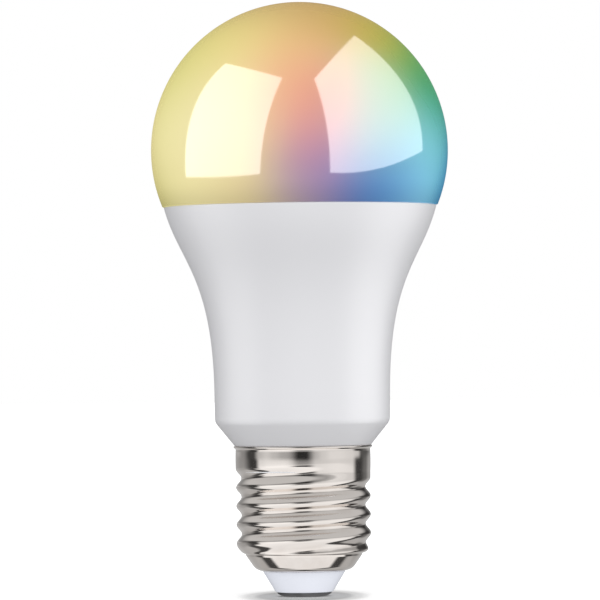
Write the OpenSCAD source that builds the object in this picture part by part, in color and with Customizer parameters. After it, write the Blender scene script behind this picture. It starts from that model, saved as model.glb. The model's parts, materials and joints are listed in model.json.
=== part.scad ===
// Colour-changing smart light bulb with an E27 screw cap: opal globe, moulded body, driver and radio inside.
// Millimetres. +Z is up, the tip of the centre contact is at z = 0, and the bulb's axis is the Z axis.
// The driver board stands in the XZ plane: its front is on the -Y side and its back on the +Y side.

/* [Overall] */
// Height from the tip of the contact to the top of the globe
overall_h = 116; // [115.5:0.5:117]
// Outside diameter of the globe
globe_d = 58; // [57.5:0.5:59]
// Height of the seam between the globe and the housing
seam_z = 76.2; // [76:0.1:76.6]

/* [Globe] */
// Wall of the globe
globe_wall = 1.4; // [1.2:0.1:1.6]
// How far the globe overhangs the housing at the seam
seam_step = 0.25; // [0.15:0.05:0.35]

/* [Housing] */
// Wall of the moulded housing
housing_wall = 1.6; // [1.4:0.1:1.7]
// Radius of the body just above its foot
waist_r = 17.15; // [17:0.05:17.3]
// Radius of the body's lower corner
foot_r = 17.1; // [16.95:0.05:17.15]
// Height of the lower corner
foot_z = 34.1; // [33.9:0.1:34.4]
// Radius of the shoulder that the cap stands against
neck_r = 13.3; // [13.2:0.05:13.5]

/* [Screw cap] */
// Radius of the cap's plain collar and of its thread's crest
cap_r = 13.15; // [13.1:0.01:13.2]
// Radius of the thread's root
root_r = 12.13; // [12.05:0.01:12.2]
// Pitch of the thread: seven turns to the inch
thread_pitch = 3.629; // [3.62:0.001:3.635]
// Thickness of the cap's rolled sheet
sheet = 0.35; // [0.3:0.01:0.36]
// Height of the face that the cap's rim stands against
neck_z = 29.4; // [29.3:0.1:29.5]

/* [Boards] */
// Thickness of the upright driver board
board_t = 1.2; // [1:0.1:1.4]
// Radius of the round LED board
led_board_r = 22; // [21.8:0.1:22.1]
// Number of white LED packages, half warm and half cool
white_led_count = 18; // [6, 18]
// Number of colour LED packages
colour_led_count = 6; // [3, 6]

/* [Hidden] */
$fn = 64;
eps = 0.01;

// Globe
globe_r = globe_d / 2;
globe_z = overall_h - globe_r;
seam_r = sqrt(globe_r * globe_r - pow(globe_z - seam_z, 2));
flange_h = 1.2;
skirt_r = seam_r - 2.3;
skirt_wall = 1.1;
skirt_z = seam_z - 2.4;
bead_r = 0.35;
bead_z = seam_z - 1.4;

// Housing outline: a cubic from the rim down to the waist, then the foot, its chamfer and the neck
rim_z = seam_z - 0.05;
rim_r = seam_r - seam_step;
waist_z = 40;
outline_steps = 22;
rim_handle = [-2.75, -10.65];
waist_handle = [0.23, 23];
corner_r = 2.2;
wall_across = housing_wall * 1.08;
spigot_r = root_r - sheet - 0.23;
collar_fit_r = cap_r - sheet - 0.1;
spigot_bottom = 12;
bore_r = 10.1;
rebate_z = seam_z - 0.9;
rebate_r = seam_r - 1.3;
groove_w = 1.2;
groove_depth = 0.95;

// Heat sink cup and LED board
cup_gap = 0.15;
cup_sheet = 1;
cup_bottom = 37.2;
ledge_in_r = 17;
pad_t = 0.4;
led_board_t = 1.6;
screw_ring_r = 19.8;
screw_angles = [90, 210, 330];
screw_r = 1.1;
pilot_r = 1.2;
boss_r = 1.9;
boss_h = 1.4;
white_ring_r = 16.2;
colour_ring_r = 10.5;

// Driver board: half widths in the neck and in the body, and its heights
board_neck_w = 9.5;
board_body_w = 13.5;
board_bottom = 12.6;
board_step_z = 36.5;
board_top = 67;
lead_r = 0.35;
lead_hole_r = 0.45;

// Each lead leaves a component at [x, y, z] and drops to the height where it goes through the board
leads = [
    [-8.7, -5.9, 39.4, 1], [-3.7, -5.9, 39.4, 1],
    [4.2, -5, 53, 1.2], [8.2, -5, 53, 1.2],
    [-11.3, -2.6, 55.2, 1.2], [-6.7, -2.6, 55.2, 1.2],
    [1.5, 3.6, 41, 1.4], [9.5, 3.6, 41, 1.4],
    [-8.7, 5.2, 42, 1.4], [-4.3, 5.2, 42, 1.4],
    [-4, -3, 27, -2]
];

// Radio module
radio_y = 2;
radio_w = 12.5;
radio_t = 0.8;
radio_bottom = 57;
radio_top = 84;

// Link between the two boards
link_y = -5;
link_pitch = 1.27;
link_count = 6;

// Cap
lip_r = cap_r + 0.4;
lip_h = 0.3;
collar_bottom = 23.85;
thread_bottom = 8.45;
thread_facets = 30;
slices_per_turn = 12;
crest_z = 12.25;
cup_r = 11.6;
cup_arc_r = 2.4;
cup_arc_at = [8, 7.4];
cup_arc_end = -38;
cup_rim_z = cup_arc_at[1] - cup_arc_r;
insulator_hole_r = 7.15;
contact_t = 0.85;
tip_r = 5.6;

// Wire routes
live_route = [
    [-4, -3, 17], [-4, -3, 14.5], [-3.6, -2.8, 12.4], [-2.6, -2, 10.4], [-1.3, -1, 8.8],
    [-0.4, -0.3, 7.4], [0, 0, 6], [0, 0, 4.2], [0, 0, 1.6]
];
neutral_route = [
    [-7.5, -1.1, 16.5], [-7.5, -1.1, 13], [-7.9, -1, 11.6], [-8.7, -0.8, 10.6], [-9.8, -0.4, 10.3],
    [-10.7, -0.1, 10.8], [-11.1, 0, 11.9], [-11.1, 0, 14], [-11.1, 0, 20]
];

function bezier(a, b, c, d, t) =
    a * pow(1 - t, 3) + b * 3 * t * pow(1 - t, 2) + c * 3 * t * t * (1 - t) + d * pow(t, 3);

// Point of the housing's outline, from the rim (step 0) to the waist (last step)
function outline(step) =
    let (rim = [rim_r, rim_z], waist = [waist_r, waist_z])
    bezier(rim, rim + rim_handle, waist + waist_handle, waist, step / outline_steps);

// The same outline moved towards the axis
function inset(step, distance) = outline(step) - [distance, 0];

function arc(centre, radius, from, to, steps) =
    [for (i = [0:steps]) centre + radius * [cos(from + (to - from) * i / steps),
                                            sin(from + (to - from) * i / steps)]];

function unit(v) = v / norm(v);

ledge_z = inset(3, 0)[1];
pad_z = ledge_z;
led_board_z = pad_z + pad_t;
led_z = led_board_z + led_board_t;

// ---- shapes used more than once ----

module tube(outer, inner, height) {
    difference() {
        cylinder(r = outer, h = height);
        translate([0, 0, -1]) cylinder(r = inner, h = height + 2);
    }
}

module box(size, centre) {
    translate(centre) cube(size, center = true);
}

// Children placed around the axis at a radius
module around(angles, radius) {
    for (a = angles) rotate([0, 0, a]) translate([radius, 0, 0]) children();
}

// Round wire along a route, with eight sides
module wire(route, radius) {
    sides = 8;
    last = len(route) - 1;
    rings = [for (i = [0:last])
        let (
            along = unit(route[min(i + 1, last)] - route[max(i - 1, 0)]),
            side = unit(cross(along, [0.1, 1, 0])),
            up = cross(side, along)
        )
        for (k = [0:sides - 1])
            route[i] + radius * (cos(360 * k / sides) * side + sin(360 * k / sides) * up)];
    skin = [for (i = [0:last - 1], k = [0:sides - 1])
        let (a = i * sides + k, b = i * sides + (k + 1) % sides)
        [a, b, b + sides, a + sides]];
    ends = [[for (k = [sides - 1:-1:0]) k], [for (k = [0:sides - 1]) last * sides + k]];
    polyhedron(points = rings, faces = concat(skin, ends), convexity = 4);
}

// Component lead: out of the body, one elbow, then through the board
module lead(x, y, z, drop) {
    translate([x, y, min(z, z - drop)]) cylinder(r = lead_r, h = abs(drop), $fn = 24);
    translate([x, y, z - drop]) sphere(r = lead_r, $fn = 24);
    translate([x, y, z - drop]) rotate([y < 0 ? -90 : 90, 0, 0])
        cylinder(r = lead_r, h = abs(y) + board_t / 2 + 0.3, $fn = 24);
}

// Surface-mounted chip with gull-wing legs along its two long edges, lying on a board that faces -Y
module chip(length, width, height, legs) {
    box([length, height, width], [0, -height / 2 - 0.1, 0]);
    pitch = length / legs;
    for (i = [0:legs - 1], side = [-1, 1])
        box([0.4, 0.2, 1.1], [(i - (legs - 1) / 2) * pitch, -0.1, side * (width / 2 + 0.5)]);
}

// Electrolytic can with a rolled bead near its sealed end, standing along Z
module capacitor_can(radius, height) {
    difference() {
        cylinder(r = radius, h = height);
        translate([0, 0, 1.6]) rotate_extrude() translate([radius + 0.3, 0]) circle(r = 0.7, $fn = 24);
        for (a = [0, 60, 120]) rotate([0, 0, a]) box([radius * 1.5, 0.3, 0.4], [0, 0, height]);
    }
}

module capacitor_sleeve(radius, height) {
    difference() {
        cylinder(r = radius + 0.2, h = height + 0.1);
        translate([0, 0, -1]) cylinder(r = radius + eps, h = height + 3);
    }
    translate([0, 0, height + 0.02]) tube(radius + 0.2, radius - 0.9, 0.12);
}

// ---- outside ----

module diffuser_globe() {
    color("moccasin") difference() {
        union() {
            intersection() {
                translate([0, 0, globe_z]) sphere(r = globe_r);
                translate([0, 0, seam_z]) cylinder(r = globe_r + 1, h = overall_h);
            }
            translate([0, 0, skirt_z]) cylinder(r = skirt_r, h = seam_z - skirt_z + flange_h / 2);
            translate([0, 0, bead_z]) rotate_extrude() translate([skirt_r, 0]) circle(r = bead_r, $fn = 24);
        }
        intersection() {
            translate([0, 0, globe_z]) sphere(r = globe_r - globe_wall);
            translate([0, 0, seam_z + flange_h]) cylinder(r = globe_r, h = overall_h);
        }
        translate([0, 0, skirt_z - 1]) cylinder(r = skirt_r - skirt_wall, h = seam_z - skirt_z + flange_h + 2);
    }
}

// Silicone bead in the rebate under the globe's flange
module globe_seal_ring() {
    color("whitesmoke") translate([0, 0, rebate_z])
        tube(rebate_r - 0.02, skirt_r + 0.02, seam_z - rebate_z);
}

module housing_shell() {
    shelf_z = inset(2, 0)[1];
    foot_in_r = foot_r - housing_wall;
    slope = atan2(foot_z - neck_z, foot_r - neck_r);
    profile = concat(
        [[rebate_r, rim_z]],
        [for (i = [0:outline_steps]) outline(i)],
        arc([foot_r - corner_r, foot_z + corner_r * tan((90 - slope) / 2)], corner_r, 0, slope - 90, 8),
        [[neck_r, neck_z], [collar_fit_r, neck_z]],
        [[collar_fit_r, collar_bottom + sheet + 0.15], [spigot_r, collar_bottom + sheet + 0.15]],
        [[spigot_r, spigot_bottom], [bore_r, spigot_bottom], [bore_r, neck_z + 2]],
        [[foot_in_r, foot_z + 2]],
        [for (i = [outline_steps:-1:2]) inset(i, wall_across)],
        [[skirt_r + 0.15, shelf_z], [skirt_r + 0.15, rebate_z], [rebate_r, rebate_z]]
    );
    color("whitesmoke") difference() {
        union() {
            rotate_extrude() polygon(profile);
            // Guide ribs that hold the edges of the driver board
            for (x = [-1, 1], y = [-1, 1])
                box([1.9, 0.9, 14], [x * 9.7, y * (board_t / 2 + 0.6), spigot_bottom + 8]);
        }
        translate([0, 0, bead_z]) rotate_extrude() translate([skirt_r, 0]) circle(r = bead_r + 0.15, $fn = 24);
        // Groove for the bare neutral wire, between the spigot and the screw shell
        translate([-spigot_r - 1, -groove_w / 2, spigot_bottom - 1])
            cube([1 + groove_depth, groove_w, 11]);
    }
}

module screw_shell() {
    crest_r = cap_r - 0.02;
    mid_r = (crest_r + root_r) / 2;
    offset_r = (crest_r - root_r) / 2;
    hole_r = root_r - sheet - 0.08;
    thread_h = collar_bottom + sheet / 2 - thread_bottom;
    turns = thread_h / thread_pitch;
    start_angle = 360 * (thread_bottom - crest_z) / thread_pitch;
    collar = [
        [hole_r, collar_bottom], [cap_r, collar_bottom], [cap_r, neck_z - lip_h - 0.25],
        [lip_r - 0.08, neck_z - lip_h], [lip_r, neck_z - lip_h / 2], [lip_r - 0.08, neck_z],
        [cap_r - sheet, neck_z], [cap_r - sheet, collar_bottom + sheet], [hole_r, collar_bottom + sheet]
    ];
    cup = concat(
        [[insulator_hole_r, cup_rim_z]],
        arc(cup_arc_at, cup_arc_r, -90, cup_arc_end, 6),
        [[cup_r, thread_bottom - 0.3], [root_r + 0.6, thread_bottom - 0.15], [root_r + 0.6, thread_bottom]],
        [[cup_r - sheet, thread_bottom]],
        arc(cup_arc_at, cup_arc_r - sheet, cup_arc_end, -90, 6),
        [[insulator_hole_r, cup_rim_z + sheet]]
    );
    color("silver") {
        union() {
            rotate_extrude() polygon(collar);
            rotate_extrude() polygon(cup);
            // An off-centre ring twisted up the axis gives the rolled thread, inside and out
            translate([0, 0, thread_bottom]) rotate([0, 0, start_angle])
                linear_extrude(height = thread_h, twist = -360 * turns, $fn = thread_facets,
                               slices = round(slices_per_turn * turns))
                    translate([offset_r, 0]) difference() {
                        circle(r = mid_r);
                        circle(r = mid_r - sheet);
                    }
        }
    }
}

module cap_insulator() {
    neck = insulator_hole_r - 0.05;
    profile = concat(
        [[1.5, contact_t], [tip_r, contact_t], [8.1, cup_rim_z - 0.05], [neck, cup_rim_z - 0.05]],
        [[neck, cup_rim_z + sheet + 0.05]],
        arc(cup_arc_at, cup_arc_r - sheet - 0.05, -90, cup_arc_end, 6),
        [[9.8, 6.8], [9.2, 7.4], [4, 7.4], [3, 6.2], [1.5, 6.2]]
    );
    color("ghostwhite") rotate_extrude() polygon(profile);
}

module centre_contact() {
    profile = [[2.1, 0], [3.8, 0], [4.6, 0.2], [5.1, 0.5], [tip_r - 0.3, contact_t], [1.45, contact_t],
               [1.45, 0.5], [2.1, 0.5]];
    color("dimgray") rotate_extrude() polygon(profile);
}

module contact_rivet() {
    profile = [[0, 0], [2.05, 0], [2.05, 0.48], [1.4, 0.48], [1.4, 4.6], [0.75, 4.6], [0.75, 1], [0, 1]];
    color("silver") rotate_extrude() polygon(profile);
}

// ---- heat sink and light engine ----

module heat_sink_cup() {
    out = wall_across + cup_gap;
    profile = concat(
        [[ledge_in_r, ledge_z]],
        [for (i = [3:outline_steps]) inset(i, out)],
        [[waist_r - out - 0.15, cup_bottom], [12.2, cup_bottom], [12.2, cup_bottom + cup_sheet]],
        [[waist_r - out - cup_sheet - 0.15, cup_bottom + cup_sheet]],
        [for (i = [outline_steps:-1:4]) inset(i, out + cup_sheet)],
        [[inset(4, out + cup_sheet)[0], ledge_z - cup_sheet], [ledge_in_r, ledge_z - cup_sheet]]
    );
    color("lightgray") difference() {
        union() {
            rotate_extrude() polygon(profile);
            around(screw_angles, screw_ring_r)
                translate([0, 0, ledge_z - cup_sheet - boss_h]) cylinder(r = boss_r, h = boss_h + eps);
        }
        around(screw_angles, screw_ring_r)
            translate([0, 0, ledge_z - cup_sheet - boss_h - 1]) cylinder(r = pilot_r, h = boss_h + cup_sheet + 2);
    }
}

module thermal_pad() {
    color("lightsteelblue") translate([0, 0, pad_z]) difference() {
        tube(led_board_r - 0.2, ledge_in_r + 0.4, pad_t);
        around(screw_angles, screw_ring_r) translate([0, 0, -1]) cylinder(r = 1.6, h = pad_t + 2);
    }
}

module led_board() {
    color("white") translate([0, 0, led_board_z]) difference() {
        cylinder(r = led_board_r, h = led_board_t);
        around(screw_angles, screw_ring_r) translate([0, 0, -1]) cylinder(r = 1.4, h = led_board_t + 2);
        box([radio_w + 0.8, 2, 4 * led_board_t], [0, radio_y, 0]);
        box([link_count * link_pitch + 1, 1.6, 4 * led_board_t], [0, link_y, 0]);
    }
}

// White package: a moulded frame with its phosphor window standing a little proud
module white_led() {
    box([2.8, 3.5, 0.7], [0, 0, 0.35]);
    box([2, 2.6, 0.1], [0, 0, 0.74]);
}

module white_led_ring(first) {
    step = 360 / white_led_count;
    translate([0, 0, led_z])
        around([for (i = [first:2:white_led_count - 1]) i * step], white_ring_r) white_led();
}

module warm_white_leds() {
    color("gold") white_led_ring(0);
}

module cool_white_leds() {
    color("lemonchiffon") white_led_ring(1);
}

// Colour package: a square frame with a round window over its three dice
module colour_leds() {
    step = 360 / colour_led_count;
    color("gainsboro") translate([0, 0, led_z])
        around([for (i = [0:colour_led_count - 1]) 30 + i * step], colour_ring_r) {
            difference() {
                box([5, 5, 1.5], [0, 0, 0.75]);
                translate([0, 0, 1.2]) cylinder(r = 2, h = 1);
            }
            translate([0, 0, 1.2]) cylinder(r = 1.95, h = 0.15);
        }
}

module led_board_screws() {
    color("silver") around(screw_angles, screw_ring_r) {
        translate([0, 0, led_z]) difference() {
            cylinder(r1 = 2.2, r2 = 1.7, h = 1.2);
            for (a = [0, 90]) rotate([0, 0, a]) box([2.2, 0.5, 1.2], [0, 0, 1.2]);
        }
        translate([0, 0, led_z - 4.6]) cylinder(r = screw_r, h = 4.6 + eps);
    }
}

// ---- driver ----

module driver_board() {
    outline_pts = [
        [-board_neck_w, board_bottom], [board_neck_w, board_bottom], [board_neck_w, board_step_z + 2],
        [board_body_w, board_step_z + 2], [board_body_w, board_top], [-board_body_w, board_top],
        [-board_body_w, board_step_z + 2], [-board_neck_w, board_step_z + 2]
    ];
    color("seagreen") difference() {
        translate([0, board_t / 2, 0]) rotate([90, 0, 0]) linear_extrude(height = board_t) polygon(outline_pts);
        for (l = leads) translate([l[0], 2, l[2] - l[3]]) rotate([90, 0, 0])
            cylinder(r = lead_hole_r, h = 4, $fn = 24);
    }
}

module link_header() {
    w = link_count * link_pitch;
    color("#222222") difference() {
        box([w, 6, 2.5], [0, -board_t / 2 - 3, 63.5]);
        for (i = [0:link_count - 1])
            translate([(i - (link_count - 1) / 2) * link_pitch, link_y, 60]) cylinder(r = 0.3, h = 8, $fn = 24);
    }
}

module link_pins() {
    color("gold") for (i = [0:link_count - 1])
        translate([(i - (link_count - 1) / 2) * link_pitch, link_y, 61.8])
            cylinder(r = 0.28, h = led_z + 0.8 - 61.8, $fn = 24);
}

module radio_module() {
    color("midnightblue") difference() {
        box([radio_w, radio_t, radio_top - radio_bottom], [0, radio_y, (radio_top + radio_bottom) / 2]);
        for (i = [-2:2]) translate([i * 2, radio_y + 1, 60]) rotate([90, 0, 0]) cylinder(r = 0.45, h = 2, $fn = 24);
    }
}

module radio_shield_can() {
    h = 2.2;
    centre = [0, radio_y + radio_t / 2 + h / 2, 66.6];
    color("silver") difference() {
        box([10, h, 9.4], centre);
        box([9.6, h, 9], centre - [0, 0.2, 0]);
    }
}

// Folded copper track above the LED board, inside the globe
module radio_aerial() {
    t = 0.08;
    y = radio_y + radio_t / 2 + t / 2;
    fold = 1.6;
    color("peru") {
        for (i = [0:6]) box([0.5, t, 5], [(i - 3) * fold, y, 80]);
        for (i = [0:5]) box([fold + 0.5, t, 0.5], [(i - 2.5) * fold, y, i % 2 == 0 ? 82.25 : 77.75]);
        box([0.5, t, 5.7], [-3 * fold, y, 74.7]);
    }
}

module radio_pins() {
    y0 = board_t / 2;
    color("gold") for (i = [-2:2]) translate([i * 2, y0, 60]) rotate([-90, 0, 0])
        cylinder(r = 0.4, h = radio_y + radio_t / 2 + 0.6 - y0, $fn = 24);
}

module bridge_rectifier() {
    color("#222222") translate([4, -board_t / 2, 24]) chip(4.7, 3.8, 2.4, 2);
}

module fusible_resistor() {
    color("cornflowerblue") translate([-4, -3, 17]) {
        cylinder(r = 1.5, h = 9.98);
        translate([0, 0, 0.4]) cylinder(r = 1.75, h = 2);
        translate([0, 0, 7.6]) cylinder(r = 1.75, h = 2);
    }
}

module varistor() {
    color("royalblue") translate([-9, -0.9, 59]) rotate([90, 0, 0]) {
        cylinder(r = 4, h = 3.4);
        translate([-3, -3.8, 0]) cube([6, 3, 3.4]);
    }
}

module film_capacitor() {
    color("goldenrod") translate([-0.5, board_t / 2 + 0.2, 41]) cube([12, 5.5, 10]);
}

module bulk_capacitor_can() {
    color("silver") translate([-6.2, -6, 39.4]) capacitor_can(4.8, 13.4);
}

module bulk_capacitor_sleeve() {
    color("#1c2a4a") translate([-6.2, -6, 39.4]) capacitor_sleeve(4.8, 13.4);
}

module output_capacitor_can() {
    color("silver") translate([6.2, -5, 53]) capacitor_can(3.9, 8.6);
}

module output_capacitor_sleeve() {
    color("#1c2a4a") translate([6.2, -5, 53]) capacitor_sleeve(3.9, 8.6);
}

// Flyback transformer: an E-core pair around a bobbin, with its windings between the flanges
transformer_at = [6, -4.9, 45];

module transformer_core() {
    color("#333338") translate(transformer_at) difference() {
        box([7.6, 3.2, 9.6], [0, 0, 0]);
        for (s = [-1, 1]) box([2, 4, 6.4], [s * 2.2, 0, 0]);
    }
}

module transformer_bobbin() {
    color("#222222") translate(transformer_at) difference() {
        for (z = [-2.85, 2.85]) box([6.2, 7.6, 0.6], [0, 0, z]);
        box([2.5, 3.3, 9], [0, 0, 0]);
        for (s = [-1, 1]) box([1.4, 3.3, 9], [s * 3.9, 0, 0]);
    }
}

module transformer_winding() {
    color("gold") translate(transformer_at) difference() {
        box([6, 7, 5], [0, 0, 0]);
        box([2.5, 3.3, 6], [0, 0, 0]);
        for (s = [-1, 1]) box([1.4, 3.3, 6], [s * 3.9, 0, 0]);
    }
}

choke_at = [-6.5, 5.2, 42];

module line_choke_core() {
    color("#333338") translate(choke_at) {
        cylinder(r = 4, h = 1.4);
        cylinder(r = 1.8, h = 8);
        translate([0, 0, 6.6]) cylinder(r = 4, h = 1.4);
    }
}

module line_choke_winding() {
    color("peru") translate(choke_at + [0, 0, 1.42]) tube(3.6, 1.82, 5.16);
}

module power_ic() {
    color("#222222") translate([0, board_t / 2, 27]) rotate([0, 0, 180]) chip(4.9, 3.9, 1.5, 4);
}

module dimming_ic() {
    color("#222222") translate([-2, board_t / 2, 53.6]) rotate([0, 0, 180]) chip(8, 2.6, 1.2, 6);
}

module rectifier_diodes() {
    color("#222222") for (x = [-4, 4]) translate([x, board_t / 2 + 1, 20]) {
        box([4.2, 2, 2.6], [0, 0, 0]);
        for (s = [-1, 1]) box([0.4, 1, 1.4], [s * 2.3, -0.5, 0]);
    }
}

// Ceramic capacitors and chip resistors in short rows on both faces of the driver board
module smd_passives() {
    color("tan") {
        for (i = [0:4]) box([1, 0.6, 1.7], [-5 + 2.5 * i, board_t / 2 + 0.3, 33]);
        for (i = [0:3]) box([1, 0.6, 1.7], [-3.6 + 2.4 * i, board_t / 2 + 0.3, 15.6]);
        for (i = [0:2]) box([1.7, 0.6, 1], [3 + 2.6 * i - 2.6, -board_t / 2 - 0.3, 31]);
    }
}

module component_leads() {
    color("silver") for (l = leads) lead(l[0], l[1], l[2], l[3]);
}

// ---- wires to the cap ----

module live_lead() {
    color("firebrick") wire(live_route, 0.6);
}

module neutral_lead() {
    color("silver") wire(neutral_route, 0.35);
}

diffuser_globe();
globe_seal_ring();
housing_shell();
heat_sink_cup();
thermal_pad();
led_board();
warm_white_leds();
cool_white_leds();
colour_leds();
led_board_screws();
driver_board();
link_header();
link_pins();
radio_module();
radio_shield_can();
radio_aerial();
radio_pins();
bridge_rectifier();
fusible_resistor();
varistor();
film_capacitor();
bulk_capacitor_can();
bulk_capacitor_sleeve();
output_capacitor_can();
output_capacitor_sleeve();
transformer_core();
transformer_bobbin();
transformer_winding();
line_choke_core();
line_choke_winding();
power_ic();
dimming_ic();
rectifier_diodes();
smd_passives();
component_leads();
live_lead();
neutral_lead();
screw_shell();
cap_insulator();
centre_contact();
contact_rivet();
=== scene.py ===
import json
import math

import bmesh
import bpy
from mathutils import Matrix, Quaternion, Vector


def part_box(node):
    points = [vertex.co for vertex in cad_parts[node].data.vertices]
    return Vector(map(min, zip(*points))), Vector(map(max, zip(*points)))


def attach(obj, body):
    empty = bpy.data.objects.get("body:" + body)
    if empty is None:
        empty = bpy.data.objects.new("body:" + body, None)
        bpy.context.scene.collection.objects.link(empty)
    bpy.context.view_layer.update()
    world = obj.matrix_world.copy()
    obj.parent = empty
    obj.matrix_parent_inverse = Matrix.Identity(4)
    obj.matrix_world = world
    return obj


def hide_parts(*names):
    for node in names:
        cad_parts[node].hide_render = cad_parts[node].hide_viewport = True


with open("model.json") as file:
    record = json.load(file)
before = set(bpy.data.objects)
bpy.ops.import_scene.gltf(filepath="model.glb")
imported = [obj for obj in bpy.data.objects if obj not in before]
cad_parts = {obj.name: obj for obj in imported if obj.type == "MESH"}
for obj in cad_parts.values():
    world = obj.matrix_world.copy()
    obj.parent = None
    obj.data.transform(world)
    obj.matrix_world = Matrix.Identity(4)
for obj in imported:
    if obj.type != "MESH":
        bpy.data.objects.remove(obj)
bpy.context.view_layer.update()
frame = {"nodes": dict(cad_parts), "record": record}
scene = bpy.context.scene

MM = 0.001
TURN = 2 * math.pi


# ---- sizes, in millimetres, from the frame ----

def extent(name):
    """Radius, lowest z and highest z of a round CAD node."""
    low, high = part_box(name)
    return high.x / MM, low.z / MM, high.z / MM


GLOBE_R, SKIRT_Z, GLOBE_TOP = extent("diffuser_globe")
RIM_R, SPIGOT_Z, RIM_Z = extent("housing_shell")
LIP_R, CUP_Z, NECK_Z = extent("screw_shell")
GLOBE_Z = GLOBE_TOP - GLOBE_R
SEAM_Z = RIM_Z + 0.05
SHEET = 0.35
CAP_R = LIP_R - 0.4
ROOT_R = CAP_R - 1.02
PITCH = 25.4 / 7


# ---- mesh building ----

def rounded(points, steps=5):
    """Outline through (r, z, radius) corners, each rounded with its own radius. The two ends stay sharp."""
    out = []
    for i, (r, z, fillet) in enumerate(points):
        at = Vector((r, z))
        if fillet == 0 or i in (0, len(points) - 1):
            out.append(at)
            continue
        back = Vector(points[i - 1][:2]) - at
        on = Vector(points[i + 1][:2]) - at
        half = back.angle(on) / 2
        trim = min(fillet / math.tan(half), 0.49 * back.length, 0.49 * on.length)
        start, end = at + back.normalized() * trim, at + on.normalized() * trim
        for k in range(steps + 1):
            t = k / steps
            out.append((1 - t) ** 2 * start + 2 * t * (1 - t) * at + t * t * end)
    return out


def arc(centre, radius, first, last, steps):
    """Points (r, z) on a circle, by angle in degrees from the outward direction."""
    angles = [math.radians(first + (last - first) * k / steps) for k in range(steps + 1)]
    return [(centre[0] + radius * math.cos(a), centre[1] + radius * math.sin(a)) for a in angles]


def smooth(points):
    """Outline corners without a radius, for stretches that are fine enough already."""
    return [(r, z, 0) for r, z in points]


def bezier(a, b, c, d, t):
    """A point on a cubic curve, with t from 0 to 1."""
    return a * (1 - t) ** 3 + b * 3 * t * (1 - t) ** 2 + c * 3 * t * t * (1 - t) + d * t ** 3


def revolve(mesh, outline, segments, closed, shape=None):
    """Turns an outline of (r, z) about the axis. shape(angle, r, z), if given, returns the radius."""
    rings = []
    for r, z in outline:
        if r < 1e-6:
            rings.append([mesh.verts.new((0, 0, z * MM))])
            continue
        ring = []
        for k in range(segments):
            angle = TURN * k / segments
            radius = shape(angle, r, z) if shape else r
            place = (radius * math.cos(angle) * MM, radius * math.sin(angle) * MM, z * MM)
            ring.append(mesh.verts.new(place))
        rings.append(ring)
    pairs = list(zip(rings, rings[1:]))
    if closed:
        pairs.append((rings[-1], rings[0]))
    for low, high in pairs:
        for k in range(segments):
            n = (k + 1) % segments
            corners = [low[k % len(low)], low[n % len(low)], high[n % len(high)], high[k % len(high)]]
            mesh.faces.new(list(dict.fromkeys(corners)))


def block(mesh, centre, size):
    """A box in a mesh, by its centre and its size in millimetres."""
    made = bmesh.ops.create_cube(mesh, size=1)["verts"]
    for v in made:
        v.co = Vector([(c + p * s) * MM for c, p, s in zip(centre, v.co, size)])


def finished(name, mesh, material, replaces, sharp=38):
    """Turns a bmesh into a piece of the bulb that stands for a CAD node."""
    bmesh.ops.recalc_face_normals(mesh, faces=mesh.faces)
    data = bpy.data.meshes.new(name)
    mesh.to_mesh(data)
    mesh.free()
    data.shade_smooth()
    data.set_sharp_from_angle(angle=math.radians(sharp))
    data.materials.append(material)
    made = bpy.data.objects.new(name, data)
    scene.collection.objects.link(made)
    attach(made, "root")
    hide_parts(replaces)
    return made


# ---- node helpers ----

def node(tree, kind, inputs=None, **settings):
    """A node with its settings, and its inputs as values or as sockets to link from."""
    made = tree.nodes.new("ShaderNode" + kind)
    for name, value in settings.items():
        setattr(made, name, value)
    for name, value in (inputs or {}).items():
        if isinstance(value, bpy.types.NodeSocket):
            tree.links.new(value, made.inputs[name])
        else:
            made.inputs[name].default_value = value
    return made


def calc(tree, operation, *values):
    return node(tree, "Math", dict(enumerate(values)), operation=operation).outputs[0]


def vector_calc(tree, operation, *values):
    inputs = dict(enumerate(values))
    if operation == "SCALE":
        inputs = {0: values[0], "Scale": values[1]}
    made = node(tree, "VectorMath", inputs, operation=operation)
    return made.outputs["Value" if operation == "DOT_PRODUCT" else "Vector"]


def remap(tree, value, low, high, to_low, to_high):
    """A smooth step from to_low, where the value is low, to to_high, where it is high."""
    made = node(tree, "MapRange", {"Value": value, "From Min": low, "From Max": high,
                                   "To Min": to_low, "To Max": to_high}, interpolation_type="SMOOTHSTEP")
    return made.outputs["Result"]


def ramp(tree, value, stops):
    """A grey level that goes through (position, level) stops, and stays level beyond the two ends."""
    low, high = stops[0][0], stops[-1][0]
    share = calc(tree, "DIVIDE", calc(tree, "SUBTRACT", value, low), high - low)
    made = node(tree, "ValToRGB", {"Fac": share})
    made.color_ramp.interpolation = "EASE"
    points = made.color_ramp.elements
    while len(points) < len(stops):
        points.new(0.5)
    for point, (position, level) in zip(points, stops):
        point.position = (position - low) / (high - low)
        point.color = (level, level, level, 1)
    return made.outputs["Color"]


def mixed(tree, factor, a, b):
    """Colour a where the factor is 0 and colour b where it is 1."""
    made = node(tree, "Mix", {"Factor": factor}, data_type="RGBA")
    for socket, value in ((made.inputs[6], a), (made.inputs[7], b)):
        if isinstance(value, bpy.types.NodeSocket):
            tree.links.new(value, socket)
        else:
            socket.default_value = (*value, 1)
    return made.outputs[2]


def noise(tree, place, scale, detail=3.0, roughness=0.55):
    return node(tree, "TexNoise", {"Vector": place, "Scale": scale, "Detail": detail,
                                   "Roughness": roughness}).outputs["Fac"]


def place_of(tree):
    return node(tree, "TexCoord").outputs["Object"]


def stretched(tree, x, y, z):
    """Object coordinates scaled along each axis."""
    return vector_calc(tree, "MULTIPLY", place_of(tree), (x, y, z))


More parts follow.
